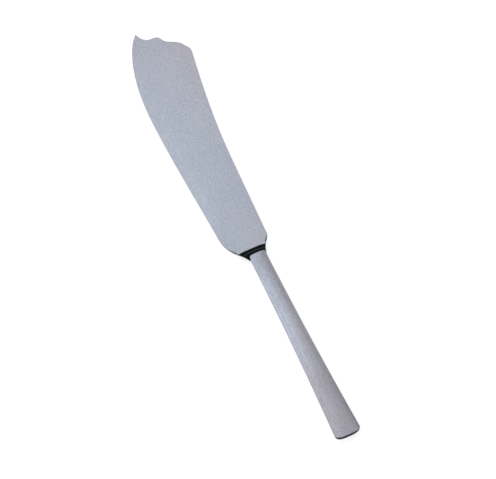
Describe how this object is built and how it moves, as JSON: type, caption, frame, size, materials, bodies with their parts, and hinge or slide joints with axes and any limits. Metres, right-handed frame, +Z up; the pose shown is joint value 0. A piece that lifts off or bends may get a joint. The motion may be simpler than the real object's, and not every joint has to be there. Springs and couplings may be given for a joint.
{
  "type": "cake knife",
  "caption": "Satin steel cake knife with a broad flat blade, a notched serving end, a black neck collar and a slim hollow handle that widens to a plugged butt.",
  "frame": {"origin": "under the middle of the knife's overall box, on the plane that it lies on", "axes": "+X along the knife from the handle's butt to the blade's tip, +Y across the blade towards the cutting edge, +Z up through the blade's front face"},
  "size_m": [0.27, 0.0392, 0.0058],
  "materials": {
    "satin_steel": "satin",
    "black_resin": "matt black",
    "cement": "cast, hidden inside the handle"
  },
  "bodies": {
    "root": {"blade": "satin_steel", "neck_collar": "black_resin", "front_shell": "satin_steel", "back_shell": "satin_steel", "tang_cement": "cement", "butt_plug": "black_resin"}
  },
  "joints": []
}
